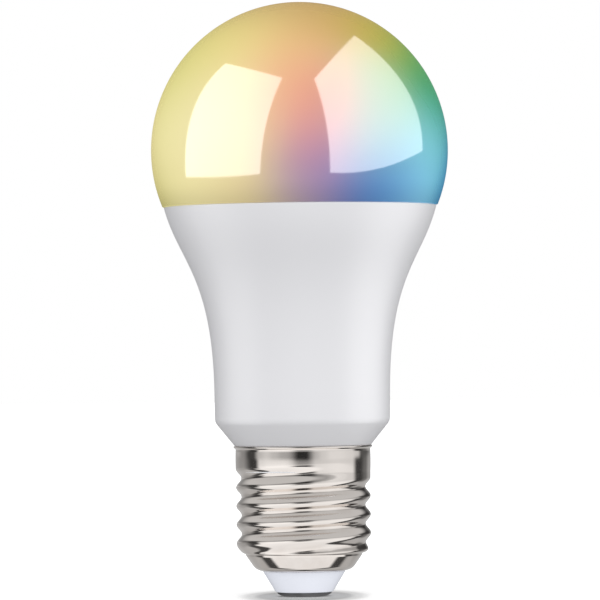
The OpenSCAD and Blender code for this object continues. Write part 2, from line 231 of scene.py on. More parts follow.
def around_axis(tree, per_turn, per_metre):
    """Coordinates that run round the bulb's axis and up it, for marks left by turning or rolling."""
    xyz = node(tree, "SeparateXYZ", {"Vector": place_of(tree)}).outputs
    angle = calc(tree, "ARCTAN2", xyz["Y"], xyz["X"])
    return node(tree, "CombineXYZ", {"X": calc(tree, "MULTIPLY", calc(tree, "SINE", angle), per_turn),
                                     "Y": calc(tree, "MULTIPLY", calc(tree, "COSINE", angle), per_turn),
                                     "Z": calc(tree, "MULTIPLY", xyz["Z"], per_metre)}).outputs["Vector"]


def surface(name, colour=(0.8, 0.8, 0.8), roughness=0.5, metallic=0.0, **settings):
    """A material with one Principled shader: its tree, its shader and the material itself."""
    material = bpy.data.materials.new(name)
    material.use_nodes = True
    tree = material.node_tree
    shader = tree.nodes["Principled BSDF"]
    shader.inputs["Base Color"].default_value = (*colour, 1)
    shader.inputs["Roughness"].default_value = roughness
    shader.inputs["Metallic"].default_value = metallic
    for label, value in settings.items():
        shader.inputs[label.replace("_", " ")].default_value = value
    return material, tree, shader


def painted(tree, shader, colour):
    """Base colour from a socket."""
    tree.links.new(colour, shader.inputs["Base Color"])


def glossed(tree, shader, pattern, at_low, at_high, low=0.3, high=0.7):
    """Roughness that follows a pattern, from one value where it is low to another where it is high."""
    tree.links.new(remap(tree, pattern, low, high, at_low, at_high), shader.inputs["Roughness"])


def bumped(tree, shader, height, depth, strength=1.0):
    """Relief of a real depth, in millimetres."""
    bump = node(tree, "Bump", {"Height": height, "Distance": depth * MM, "Strength": strength})
    tree.links.new(bump.outputs["Normal"], shader.inputs["Normal"])


def scaled(colour, factor):
    return tuple(min(1.0, c * factor) for c in colour)


def grained(name, colour, roughness, metallic=0.0, grain=1500.0, tone=0.08, relief=0.01, **settings):
    """A general finish: its colour drifts a little, its grain gives relief and breaks up the gloss."""
    material, tree, shader = surface(name, colour, roughness, metallic, **settings)
    place = place_of(tree)
    drift = noise(tree, place, grain / 12, 2.0)
    fine = noise(tree, place, grain, 4.0)
    darker, lighter = scaled(colour, 1 - tone), scaled(colour, 1 + tone)
    painted(tree, shader, mixed(tree, remap(tree, drift, 0.3, 0.7, 0.0, 1.0), darker, lighter))
    glossed(tree, shader, fine, max(0.02, roughness - 0.07), min(1.0, roughness + 0.07), 0.25, 0.75)
    bumped(tree, shader, fine, relief)
    return material


# ---- the visible finishes ----

def direction(azimuth, elevation):
    """A direction by degrees to the right of the front (-Y) and degrees up."""
    a, e = math.radians(azimuth), math.radians(elevation)
    return Vector((math.sin(a) * math.cos(e), -math.cos(a) * math.cos(e), math.sin(e)))


# The soft lobes of colour that the globe glows with: name, azimuth, elevation, sharpness, colour
# The darker lobes, ochre at the top, khaki low on the left and sea at the right rim, partly hold painted
# shade
GLOWS = [
    ("lemon", -62, 0, 10, (1.12, 1.04, 0.52)),
    ("lime", -66, 34, 10, (0.78, 0.76, 0.22)),
    ("straw", -34, 12, 10, (0.98, 0.86, 0.52)),
    ("gold", -34, 42, 14, (1.00, 0.84, 0.31)),
    ("sand", -40, 66, 10, (0.74, 0.58, 0.22)),
    ("ochre", 5, 82, 12, (0.56, 0.33, 0.12)),
    ("rust", 14, 58, 16, (0.68, 0.40, 0.15)),
    ("apricot", -3, 38, 20, (0.92, 0.50, 0.25)),
    ("peach", -16, 12, 20, (0.92, 0.60, 0.34)),
    ("salmon", -3, 21, 26, (0.94, 0.38, 0.25)),
    ("coral", 8, 17, 34, (1.04, 0.24, 0.16)),
    ("rose", 7, 5, 32, (0.74, 0.21, 0.32)),
    ("mauve", 6, -7, 28, (0.42, 0.18, 0.52)),
    ("plum", 3, -18, 24, (0.26, 0.21, 0.38)),
    ("tan", -20, -20, 12, (0.76, 0.60, 0.28)),
    ("cream", -50, -19, 12, (0.98, 0.86, 0.42)),
    ("khaki", -80, -22, 16, (0.52, 0.48, 0.10)),
    ("indigo", 24, -17, 26, (0.0, 0.09, 0.48)),
    ("blue", 38, -17, 24, (0.05, 0.22, 0.62)),
    ("azure", 52, -11, 20, (0.27, 0.70, 0.97)),
    ("sea", 86, -9, 20, (0.0, 0.22, 0.50)),
    ("cyan", 62, 2, 26, (0.28, 0.80, 0.88)),
    ("teal", 68, 16, 24, (0.02, 0.37, 0.22)),
    ("green", 68, 29, 22, (0.05, 0.42, 0.08)),
    ("olive", 52, 50, 18, (0.58, 0.50, 0.06)),
    ("blush", 18, 16, 22, (0.54, 0.49, 0.40)),
    ("mint", 38, 18, 20, (0.36, 0.60, 0.32)),
    ("mist", 29, 1, 20, (0.26, 0.56, 0.64)),
    ("emerald", 122, 15, 8, (0.06, 0.46, 0.28)),
    ("violet", 165, 0, 8, (0.30, 0.20, 0.55)),
    ("pink", -155, 20, 8, (0.75, 0.28, 0.40)),
    ("amber", -115, 10, 8, (0.90, 0.60, 0.20)),
]


def opal_globe():
    """Glossy opal plastic. Each colour is a soft lobe about its own direction, and all dim towards the seam,
    a painted shade where the globe faces down.

    The high IOR lets dim soft boxes make bright windows in front without burning out the rim from behind."""
    material, tree, shader = surface("opal_globe", roughness=0.07, IOR=2.4)
    seam_shade, lit_share, glow_strength = 0.80, 0.3, 0.61
    from_centre = vector_calc(tree, "SUBTRACT", place_of(tree), (0, 0, GLOBE_Z * MM))
    normal = vector_calc(tree, "NORMALIZE", from_centre)
    total, weights = None, None
    for _, azimuth, elevation, sharpness, colour in GLOWS:
        facing = vector_calc(tree, "DOT_PRODUCT", normal, direction(azimuth, elevation))
        weight = calc(tree, "EXPONENT", calc(tree, "MULTIPLY_ADD", facing, sharpness, -sharpness))
        part = vector_calc(tree, "SCALE", colour, weight)
        total = vector_calc(tree, "ADD", total, part) if total else part
        weights = calc(tree, "ADD", weights, weight) if weights else weight
    height = node(tree, "SeparateXYZ", {"Vector": place_of(tree)}).outputs["Z"]
    # Painted shade: the glow darkens towards the seam, where the globe faces down and gets less light
    shade = remap(tree, height, (SEAM_Z - 1) * MM, (SEAM_Z + 5) * MM, seam_shade, 1.0)
    glow = vector_calc(tree, "SCALE", total, calc(tree, "DIVIDE", shade, weights))
    painted(tree, shader, vector_calc(tree, "SCALE", glow, lit_share))
    tree.links.new(glow, shader.inputs["Emission Color"])
    shader.inputs["Emission Strength"].default_value = glow_strength
    glossed(tree, shader, noise(tree, place_of(tree), 90.0, 2.0), 0.055, 0.085)
    return material


def satin_housing():
    """Satin moulded white: a fine spark-eroded grain, and the faintest drift in its tone."""
    colour = (0.80, 0.80, 0.825)
    material, tree, shader = surface("satin_housing", colour, 0.42, IOR=1.5)
    place = place_of(tree)
    fine = noise(tree, place, 5200.0, 3.0, 0.6)
    drift = noise(tree, place, 45.0, 2.0)
    painted(tree, shader, mixed(tree, drift, scaled(colour, 0.985), scaled(colour, 1.015)))
    glossed(tree, shader, fine, 0.38, 0.46)
    bumped(tree, shader, fine, 0.003, 0.6)
    return material


def nickel_plate():
    """Bright nickel over rolled sheet: fine streaks round it, a warm stain low in the thread, soft dents."""
    bright, stained = (0.83, 0.78, 0.74), (0.76, 0.70, 0.655)
    material, tree, shader = surface("nickel_plate", bright, 0.09, 1.0)
    xyz = node(tree, "SeparateXYZ", {"Vector": place_of(tree)}).outputs
    radius = calc(tree, "SQRT", calc(tree, "ADD", calc(tree, "POWER", xyz["X"], 2.0),
                                     calc(tree, "POWER", xyz["Y"], 2.0)))
    low_in_thread = remap(tree, radius, ROOT_R * MM, CAP_R * MM, 1.0, 0.0)
    patches = remap(tree, noise(tree, place_of(tree), 260.0), 0.3, 0.7, 0.1, 0.8)
    stain = calc(tree, "MULTIPLY", low_in_thread, patches)
    painted(tree, shader, mixed(tree, stain, bright, stained))
    streaks = noise(tree, around_axis(tree, 1.6, 2400.0), 1.0, 3.0)
    glossed(tree, shader, streaks, 0.05, 0.09, 0.25, 0.75)
    dents = noise(tree, place_of(tree), 300.0, 1.0)
    height = calc(tree, "MULTIPLY_ADD", dents, 8.0, streaks)
    bumped(tree, shader, height, 0.0012, 0.5)
    return material


def insulator_plastic():
    """Smooth bluish white moulding, with a painted glow: a little emission that brightens it, though it is no
    lamp.
    """
    colour = (0.84, 0.86, 0.93)
    material, tree, shader = surface("insulator", colour, 0.22, IOR=1.5)
    # Painted glow: the insulator is no lamp, and this emission only brightens it
    shader.inputs["Emission Color"].default_value = (0.84, 0.88, 1.0, 1)
    shader.inputs["Emission Strength"].default_value = 0.2
    drift = noise(tree, place_of(tree), 180.0, 3.0)
    painted(tree, shader, mixed(tree, drift, scaled(colour, 0.96), scaled(colour, 1.03)))
    glossed(tree, shader, noise(tree, place_of(tree), 900.0), 0.17, 0.27)
    bumped(tree, shader, noise(tree, place_of(tree), 700.0, 2.0), 0.01, 0.4)
    return material


# ---- the finishes of the pieces inside, one for each material slot ----

def streaked(name, colour, roughness, up, relief=0.004):
    """Drawn or turned metal: streaks that run up the axis, or round it."""
    material, tree, shader = surface(name, colour, roughness, 1.0)
    streaks = noise(tree, stretched(tree, 2600, 2600, 60) if up else around_axis(tree, 1.2, 2600.0), 1.0, 4.0)
    cloud = noise(tree, place_of(tree), 160.0, 2.0)
    painted(tree, shader, mixed(tree, cloud, scaled(colour, 0.9), scaled(colour, 1.06)))
    glossed(tree, shader, streaks, roughness - 0.08, roughness + 0.1, 0.25, 0.75)
    bumped(tree, shader, streaks, relief)
    return material


def lacquered_board(name, colour, threads=3300.0):
    """Solder mask over glass cloth: the crossed threads show faintly in its relief and its tone."""
    material, tree, shader = surface(name, colour, 0.33, IOR=1.5)
    xyz = node(tree, "SeparateXYZ", {"Vector": place_of(tree)}).outputs
    warp = calc(tree, "SINE", calc(tree, "MULTIPLY", calc(tree, "ADD", xyz["X"], xyz["Y"]), threads))
    weft = calc(tree, "SINE", calc(tree, "MULTIPLY", xyz["Z"], threads))
    cloth = calc(tree, "MULTIPLY_ADD", calc(tree, "MULTIPLY", warp, weft), 0.5, 0.5)
    tracks = remap(tree, noise(tree, place_of(tree), 330.0, 1.0), 0.48, 0.53, 0.0, 1.0)
    tint = mixed(tree, tracks, scaled(colour, 0.8), scaled(colour, 1.25))
    painted(tree, shader, mixed(tree, calc(tree, "MULTIPLY", cloth, 0.3), tint, scaled(colour, 1.5)))
    glossed(tree, shader, tracks, 0.38, 0.27, 0.0, 1.0)
    bumped(tree, shader, calc(tree, "MULTIPLY_ADD", cloth, 0.3, tracks), 0.03)
    return material


def copper_turns(name, colour, wire=0.45):
    """Enamelled wire wound in close turns round the line choke's ring."""
    material, tree, shader = surface(name, colour, 0.25, 1.0)
    low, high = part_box("line_choke_winding")
    centred = vector_calc(tree, "SUBTRACT", place_of(tree), (low + high) / 2)
    xyz = node(tree, "SeparateXYZ", {"Vector": centred}).outputs
    across = min(range(3), key=lambda axis: (high - low)[axis])
    flat = [xyz[axis] for axis in range(3) if axis != across]
    turns = math.pi * (high - low)[(across + 1) % 3] / (wire * MM)
    groove = calc(tree, "SINE", calc(tree, "MULTIPLY", calc(tree, "ARCTAN2", *flat), round(turns)))
    painted(tree, shader, mixed(tree, remap(tree, groove, -1.0, 0.6, 1.0, 0.0), colour, scaled(colour, 0.35)))
    glossed(tree, shader, noise(tree, place_of(tree), 900.0), 0.18, 0.34)
    bumped(tree, shader, groove, wire / 3)
    return material


def taped_winding(name, colour):
    """Polyester tape round the winding: an edge shows at each turn, and the wire lifts it in ridges."""
    material, tree, shader = surface(name, colour, 0.2, IOR=1.6)
    xyz = node(tree, "SeparateXYZ", {"Vector": place_of(tree)}).outputs
    edges = remap(tree, calc(tree, "FRACT", calc(tree, "MULTIPLY", xyz["Z"], 420.0)), 0.9, 1.0, 0.0, 1.0)
    ridges = calc(tree, "SINE", calc(tree, "MULTIPLY", xyz["Z"], 14000.0))
    painted(tree, shader, mixed(tree, edges, colour, scaled(colour, 0.6)))
    glossed(tree, shader, noise(tree, place_of(tree), 700.0), 0.14, 0.28)
    bumped(tree, shader, calc(tree, "MULTIPLY_ADD", ridges, 0.2, edges), 0.04)
    return material


def banded_resistor(name, colour):
    """Lacquer with four generic rings of colour round the body, and the dips of its coating."""
    material, tree, shader = surface(name, colour, 0.3, IOR=1.5)
    low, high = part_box("fusible_resistor")
    size = high - low
    along = max(range(3), key=lambda axis: size[axis])
    place = node(tree, "SeparateXYZ", {"Vector": place_of(tree)}).outputs[along]
    share = calc(tree, "DIVIDE", calc(tree, "SUBTRACT", place, low[along]), size[along])
    tint = colour
    brown, black, red, gold = (0.35, 0.12, 0.04), (0.02, 0.02, 0.02), (0.7, 0.1, 0.03), (0.6, 0.42, 0.12)
    for middle, ring in ((0.22, brown), (0.38, black), (0.54, red), (0.74, gold)):
        inside = calc(tree, "COMPARE", share, middle, 0.035)
        tint = mixed(tree, inside, tint, ring)
    painted(tree, shader, tint)
    dips = noise(tree, place_of(tree), 800.0)
    glossed(tree, shader, dips, 0.24, 0.36)
    bumped(tree, shader, dips, 0.03)
    return material


def lit_phosphor(name, colour):
    """Silicone over phosphor: grains in it, under a clear coat."""
    material = grained(name, colour, 0.25, grain=4200.0, tone=0.12, relief=0.01, Coat_Weight=0.6)
    shader = material.node_tree.nodes["Principled BSDF"]
    shader.inputs["Coat Roughness"].default_value = 0.1
    return material


def glossy_sleeve(name, colour):
    """Shrunk plastic with a plain pale stripe up front and back, and the ripple that shrinking leaves."""
    material, tree, shader = surface(name, colour, 0.22, IOR=1.54)
    low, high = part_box("bulk_capacitor_sleeve")
    xyz = node(tree, "SeparateXYZ", {"Vector": place_of(tree)}).outputs
    stripe = calc(tree, "COMPARE", xyz["X"], (low.x + high.x) / 2, 1.2 * MM)
    painted(tree, shader, mixed(tree, stripe, colour, (0.55, 0.56, 0.6)))
    ripple = noise(tree, stretched(tree, 500, 500, 150), 1.0, 2.0)
    glossed(tree, shader, ripple, 0.17, 0.3)
    bumped(tree, shader, ripple, 0.03)
    return material


INNER_FINISHES = {
    "silicone": (grained, dict(roughness=0.55, grain=900.0, tone=0.03, relief=0.03)),
    "drawn_aluminium": (streaked, dict(roughness=0.34, up=True)),
    "thermal_pad": (grained, dict(roughness=0.75, grain=1400.0, tone=0.1, relief=0.03)),
    "led_board_mask": (lacquered_board, dict(threads=2400.0)),
    "warm_phosphor": (lit_phosphor, {}),
    "cool_phosphor": (lit_phosphor, {}),
    "led_package": (grained, dict(roughness=0.3, grain=2600.0, tone=0.05, relief=0.008)),
    "screw_steel": (streaked, dict(roughness=0.28, up=False)),
    "fibreglass_board": (lacquered_board, {}),
    "radio_board": (lacquered_board, dict(threads=4200.0)),
    "black_moulding": (grained, dict(roughness=0.48, grain=3600.0, tone=0.2, relief=0.012)),
    "gold_pins": (streaked, dict(roughness=0.22, up=True)),
    "tinned_can": (streaked, dict(roughness=0.3, up=True)),
    "copper": (copper_turns, {}),
    "resistor_coat": (banded_resistor, {}),
    "varistor_coat": (grained, dict(roughness=0.3, grain=700.0, tone=0.12, relief=0.06)),
    "film_case": (grained, dict(roughness=0.28, grain=500.0, tone=0.08, relief=0.02)),
    "capacitor_can": (streaked, dict(roughness=0.3, up=True)),
    "capacitor_sleeve": (glossy_sleeve, {}),
    "ferrite": (grained, dict(roughness=0.6, grain=2800.0, tone=0.3, relief=0.03)),
    "winding_tape": (taped_winding, {}),
    "chip_ceramic": (grained, dict(roughness=0.5, grain=3200.0, tone=0.15, relief=0.015)),
    "red_insulation": (grained, dict(roughness=0.35, grain=1100.0, tone=0.1, relief=0.015)),
    "contact_metal": (grained, dict(roughness=0.42, metallic=1.0, grain=1800.0, tone=0.25, relief=0.02)),
}


def finish_inner_pieces():
    """Gives every CAD node that still shows the finish of its material slot."""
    colours = {entry["slot"]: tuple(entry["base_color"]) for entry in frame["record"]["materials"]}
    finishes = {}
    for part in frame["record"]["subparts"]:
        piece, slot = frame["nodes"][part["node"]], part["material_slot"]
        if piece.hide_render:
            continue
        if slot not in finishes:
            make, settings = INNER_FINISHES[slot]
            finishes[slot] = make(slot, colours[slot], **settings)
        piece.data.materials.clear()
        piece.data.materials.append(finishes[slot])


# ---- the pieces seen from outside ----

def diffuser_globe():
    """Globe with its flange, skirt and snap bead, 1.4 mm thick."""
    wall, skirt_wall, flange = 1.4, 1.1, 1.2
    seam_r = math.sqrt(GLOBE_R ** 2 - (GLOBE_Z - SEAM_Z) ** 2)
    skirt_r = seam_r - 2.3
    seam_angle = math.degrees(math.asin((SEAM_Z - GLOBE_Z) / GLOBE_R))
    inner_r = GLOBE_R - wall
    inner_angle = math.degrees(math.asin((SEAM_Z + flange - GLOBE_Z) / inner_r))
    outside = arc((0, GLOBE_Z), GLOBE_R, 90, seam_angle, 110)
    bead = arc((skirt_r, SEAM_Z - 1.4), 0.35, 90, -90, 8)
    inside = arc((0, GLOBE_Z), inner_r, inner_angle, 90, 60)
    outline = (smooth(outside[:-1]) + [(*outside[-1], 0.22)]
               + [(skirt_r, SEAM_Z, 0.1)] + smooth(bead)
               + [(skirt_r, SKIRT_Z, 0.2), (skirt_r - skirt_wall, SKIRT_Z, 0.2)]
               + [(skirt_r - skirt_wall, SEAM_Z + flange, 0.2)] + smooth(inside))
    outline[0], outline[-1] = (0, GLOBE_TOP, 0), (0, GLOBE_TOP - wall, 0)
    mesh = bmesh.new()
    revolve(mesh, rounded(outline), 192, closed=False)
    return finished("globe", mesh, opal_globe(), "diffuser_globe")


def housing_outline(steps):
    """The body's curve from its rim down to its waist, the same cubic that the CAD model turns."""
    rim, waist = Vector((RIM_R, RIM_Z)), Vector((17.15, 40))
    handles = rim + Vector((-2.75, -10.65)), waist + Vector((0.23, 23))
    return [tuple(bezier(rim, handles[0], handles[1], waist, k / steps)) for k in range(steps + 1)]


def housing_shell():
    """Body, foot, neck and spigot, with the board's guide ribs and the groove for the neutral wire."""
    wall, bore_r, neck_r, spigot_r, neck_low = 1.73, 10.1, 12.7, 11.55, 24.35
    curve = housing_outline(72)
    foot, foot_inside = (17.1, 34.1, 2.2), (15.5, 36.1, 0.8)
    rebate_z, rebate_r = SEAM_Z - 0.9, RIM_R - 1.05
    skirt_fit = RIM_R - 1.9
    inside = [(r - wall, z) for r, z in housing_outline(36)[3:]]
    outline = (
        [(rebate_r, RIM_Z, 0), (*curve[0], 0.3)] + smooth(curve[1:])
        + [foot, (13.3, NECK_Z, 0.25), (neck_r, NECK_Z, 0), (neck_r, neck_low, 0)]
        + [(spigot_r, neck_low, 0), (spigot_r, SPIGOT_Z, 0.3)]
        + [(bore_r, SPIGOT_Z, 0.2), (bore_r, NECK_Z + 2, 0.5), foot_inside] + smooth(inside[::-1])
        + [(skirt_fit, inside[0][1], 0), (skirt_fit, rebate_z, 0), (rebate_r, rebate_z, 0)]
    )

    def grooved(angle, r, z):
        return 10.6 if z < 22 and r > 11 and abs(angle - math.pi) < 0.6 / spigot_r else r

    mesh = bmesh.new()
    revolve(mesh, rounded(outline), 192, closed=True, shape=grooved)
    for x in (-1, 1):
        for y in (-1, 1):
            block(mesh, (x * 9.7, y * 1.2, SPIGOT_Z + 8), (1.9, 0.9, 14))
    return finished("housing", mesh, satin_housing(), "housing_shell")


def eased(x, low, high):
    """A smooth step from 0 at low to 1 at high."""
    t = min(1.0, max(0.0, (x - low) / (high - low)))
    return t * t * (3 - 2 * t)


def thread_depth(angle, z):
    """How deep the rolled groove is: one helix that fades in from the shoulder and out under the collar.

    valley_z is where the groove is lowest at angle 0. It runs between two counts of degrees from there."""
    valley_z, first, last = 14.065, -590, 1038
    fade_in, fade_out, narrowing = 170, 105, 1.05
    nearest = round(((z - valley_z) / PITCH) - angle / TURN)
    turned = math.degrees(angle) + 360 * nearest
    centre = valley_z + PITCH * turned / 360
    depth = ((1 + math.cos(TURN * (z - centre) / PITCH)) / 2) ** narrowing
    started = eased(turned, first, first + fade_in)
    ended = eased(turned, last - fade_out, last)
    return (CAP_R - ROOT_R) * depth * started * (1 - ended)


def screw_shell():
    """Rolled cap of thin sheet: flared lip, plain collar, thread, shoulder, and the insulator's cup."""
    rows = 128
    shoulder_z, crease_r, hole_r = 10.3, 11.4, 7.15
    cup_centre, cup_curve = (8, CUP_Z + 2.4), 2.4
    collar_low, collar_high, collar_bulge = 24.2, 28.8, 0.05
    cup_arc = arc(cup_centre, cup_curve, -90, -38, 10)
    cup_lining = arc(cup_centre, cup_curve - SHEET, -38, -90, 8)
    shoulder = arc((crease_r - 0.2, shoulder_z), 1.95, -75, -4, 12)
    thread = [(CAP_R, shoulder_z + (NECK_Z - 1.2 - shoulder_z) * k / rows) for k in range(rows + 1)]
    lip = [(CAP_R, NECK_Z - 0.6, 0.3), (LIP_R, NECK_Z - 0.32, 0.08), (LIP_R, NECK_Z, 0.08)]
    outside = ([(hole_r, CUP_Z, 0)] + smooth(cup_arc) + [(11.3, 7.95, 0.3), (11.45, 8.35, 0.1)]
               + smooth(shoulder) + smooth(thread) + lip)
    lining = [(r - SHEET, z) for r, z in reversed(thread[:-4])]
    inside = ([(CAP_R - SHEET, NECK_Z, 0)] + smooth(lining)
              + [(11.15, 8.5, 0.2)] + smooth(cup_lining) + [(hole_r, CUP_Z + SHEET, 0)])

    def rolled(angle, r, z):
        groove = thread_depth(angle, z) * eased(r, CAP_R - 1.6, CAP_R - SHEET - 0.05)
        if not collar_low < z < collar_high:
            return r - groove
        return r + collar_bulge * math.sin(math.pi * (z - collar_low) / (collar_high - collar_low)) - groove

    mesh = bmesh.new()
    revolve(mesh, rounded(outside + inside, 4), 216, closed=True, shape=rolled)
    return finished("screw_cap", mesh, nickel_plate(), "screw_shell", sharp=50)


def cap_insulator():
    """Cone of moulded insulation between the cup and the centre contact."""
    _, low, high = extent("cap_insulator")
    outline = [(1.5, low, 0), (5.6, low, 0.5), (8.1, CUP_Z - 0.05, 0.12), (7.1, CUP_Z - 0.05, 0),
               (7.1, CUP_Z + 0.4, 0), (8, CUP_Z + 0.4, 0), (9.5, CUP_Z + 1.15, 0.3), (9.8, CUP_Z + 1.8, 0.2),
               (9.2, high, 0.3), (4, high, 0.3), (3, CUP_Z + 1.2, 0.3), (1.5, CUP_Z + 1.2, 0.2)]
    mesh = bmesh.new()
    revolve(mesh, rounded(outline), 128, closed=True)
    return finished("insulator", mesh, insulator_plastic(), "cap_insulator")


def centre_contact():
    """Pressed contact plate with a rolled-over rim, round the rivet's head."""
    _, low, high = extent("centre_contact")
    outline = [(2.1, low, 0.1), (3.8, low, 0.6), (4.7, 0.22, 0.4), (5.25, 0.55, 0.2), (5.3, high, 0.05),
               (1.45, high, 0), (1.45, 0.5, 0), (2.1, 0.5, 0)]
    mesh = bmesh.new()
    revolve(mesh, rounded(outline), 96, closed=True)
    material = grained("contact_plate", (0.58, 0.58, 0.60), 0.42, 1.0, grain=1800.0, tone=0.25, relief=0.02)
    return finished("contact_plate", mesh, material, "centre_contact")


# ---- stage: floor, world, lights, reflections, camera ----

def shown_to(obj, **rays):
    """Limits which rays see a stage object or a light."""
    for name, seen in rays.items():
        setattr(obj, "visible_" + name, seen)


def floor():
    """Pale floor, self-lit more the further it is from the bulb. Its glow dips in an oval round the bulb, a
    painted shadow that darkens and widens the real contact shadow.
    """
    mesh = bmesh.new()
    bmesh.ops.create_circle(mesh, cap_ends=True, segments=96, radius=4.0)
    data = bpy.data.meshes.new("floor")
    mesh.to_mesh(data)
    mesh.free()
    material, tree, shader = surface("floor", (0.45, 0.45, 0.45), 1.0, Specular_IOR_Level=0.0)
    # Painted shadow: the oval round the bulb where the floor's glow dips
    painted_shadow_oval = stretched(tree, 1.0, 0.5, 1.0)
    away = node(tree, "VectorMath", {0: painted_shadow_oval}, operation="LENGTH").outputs["Value"]
    # The near stops paint the shadow, and the far ones keep the rest of the floor evenly white
    near = [(0.0, 0.12), (0.0055, 0.12), (0.0085, 0.09), (0.0105, 0.30)]
    far = [(0.014, 0.62), (0.022, 0.92), (0.05, 1.0)]
    glow = ramp(tree, away, near + far)
    tree.links.new(glow, shader.inputs["Emission Color"])
    shader.inputs["Emission Strength"].default_value = 1.0
    data.materials.append(material)
    made = bpy.data.objects.new("floor", data)
    scene.collection.objects.link(made)
    shown_to(made, glossy=False, diffuse=False, shadow=False)


def azimuth_and_elevation(tree, way):
    """Degrees to the right of the front and degrees up, of a direction from the bulb."""
    xyz = node(tree, "SeparateXYZ", {"Vector": vector_calc(tree, "NORMALIZE", way)}).outputs
    azimuth = calc(tree, "ARCTAN2", xyz["X"], calc(tree, "MULTIPLY", xyz["Y"], -1.0))
    elevation = calc(tree, "ARCSINE", xyz["Z"])
    return [calc(tree, "MULTIPLY", angle, 180 / math.pi) for angle in (azimuth, elevation)]


def studio_world():
    """White to the camera and an even fill for matt surfaces. Glossy ones mirror the rooms below instead."""
    world = bpy.data.worlds.new("studio")
    scene.world = world
    world.use_nodes = True
    world.cycles.sampling_method = "NONE"
    tree = world.node_tree
    _, elevation = azimuth_and_elevation(tree, node(tree, "TexCoord").outputs["Generated"])
    fill = ramp(tree, elevation, [(-90, 0.58), (-20, 0.60), (0, 0.56), (90, 0.46)])
    path = node(tree, "LightPath").outputs
    matt_or_gloss = mixed(tree, path["Is Glossy Ray"], fill, (0, 0, 0))
    seen = mixed(tree, path["Is Camera Ray"], matt_or_gloss, (1, 1, 1))
    tree.links.new(seen, tree.nodes["Background"].inputs["Color"])


def soft_light(name, azimuth, elevation, distance, size, strength):
    """Area light aimed at the bulb. strength is the level it gives a white surface that faces it."""
    target = Vector((0, 0, 60 * MM))
    data = bpy.data.lights.new(name, "AREA")
    data.shape, data.size = "DISK", size
    data.energy = strength * math.pi ** 2 * distance ** 2
    light = bpy.data.objects.new(name, data)
    light.location = target + direction(azimuth, elevation) * distance
    light.rotation_euler = (target - light.location).to_track_quat("-Z", "Y").to_euler()
    scene.collection.objects.link(light)
    shown_to(light, camera=False, glossy=False)


def emitter(name, mesh, level, receivers, sampled=True):
    """Stage object that only the given pieces mirror, and that every other ray passes through.

    level(tree, azimuth, elevation) builds its brightness. A room that fills the view isn't sampled
    as a lamp."""
    data = bpy.data.meshes.new(name)
    mesh.to_mesh(data)
    mesh.free()
    material = bpy.data.materials.new(name)
    material.use_nodes = True
    tree = material.node_tree
    tree.nodes.clear()
    azimuth, elevation = azimuth_and_elevation(tree, place_of(tree))
    glow = node(tree, "Emission", {"Strength": level(tree, azimuth, elevation)})
    clear = node(tree, "BsdfTransparent")
    both = node(tree, "AddShader", {0: glow.outputs[0], 1: clear.outputs[0]})
    node(tree, "OutputMaterial", {"Surface": both.outputs[0]})
    if not sampled:
        material.cycles.emission_sampling = "NONE"
    data.materials.append(material)
    made = bpy.data.objects.new(name, data)
    scene.collection.objects.link(made)
    shown_to(made, camera=False, diffuse=False, transmission=False, shadow=False)
    seen_by = bpy.data.collections.new(name + "_receivers")
    for piece in receivers:
        seen_by.objects.link(piece)
    made.light_linking.receiver_collection = seen_by
    return made


def mirrored(right, up):
    """The direction that the globe's front shows the camera at a place on it, in radii right and up."""
    normal = Vector((right, -math.sqrt(1 - right * right - up * up), up))
    return -2 * normal.y * normal + Vector((0, 1, 0))


def reflector(name, edge, inner, outer, receivers, height):
    """Large soft box. edge holds directions round it, as seen from the axis at a height in millimetres.

    inner and outer are (azimuth, level): how its light falls off from one side to the other."""
    distance = 600
    middle = sum(edge, Vector()).normalized()
    mesh = bmesh.new()
    hub = mesh.verts.new(middle)
    rim = [mesh.verts.new(d.normalized()) for d in edge]
    for a, b in zip(rim, rim[1:] + rim[:1]):
        mesh.faces.new((hub, a, b))
    bmesh.ops.subdivide_edges(mesh, edges=mesh.edges, cuts=3, use_grid_fill=True)
    for v in mesh.verts:
        v.co = v.co.normalized() * distance * MM

    def level(tree, azimuth, elevation):
        return node(tree, "MapRange", {"Value": azimuth, "From Min": inner[0], "From Max": outer[0],
                                       "To Min": inner[1], "To Max": outer[1]}).outputs["Result"]

    made = emitter(name, mesh, level, receivers)
    made.location.z = height * MM


def bowed(sides, steps=12):
    """Points round a closed outline. Each side is its first corner and the point that bends it."""
    points = []
    for (start, pull), (end, _) in zip(sides, sides[1:] + sides[:1]):
        start, pull, end = Vector(start), Vector(pull), Vector(end)
        points += [start * (1 - t) ** 2 + pull * 2 * t * (1 - t) + end * t * t
                   for t in [k / steps for k in range(steps)]]
    return points


def side_box(first, last):
    """Directions round a soft box that stands at one side, between two azimuths."""
    corners = [(first, 40), (last, 40), (last, -45), (first, -45)]
    middles = [((a[0] + b[0]) / 2, (a[1] + b[1]) / 2) for a, b in zip(corners, corners[1:] + corners[:1])]
    return [direction(*p) for p in bowed(list(zip(corners, middles)))]


# The two windows that the globe mirrors: each side's first corner and its pull, in radii of the globe
LEFT_WINDOW = [((-0.47, 0.57), (-0.29, 0.515)), ((-0.105, 0.456), (-0.243, 0.175)),
               ((-0.258, -0.167), (-0.5, -0.19)), ((-0.753, -0.161), (-0.768, 0.336))]
RIGHT_WINDOW = [((0.101, 0.447), (0.23, 0.595)), ((0.36, 0.747), (0.815, 0.43)),
                ((0.81, 0.0), (0.536, -0.184)), ((0.198, -0.165), (0.2, 0.17))]

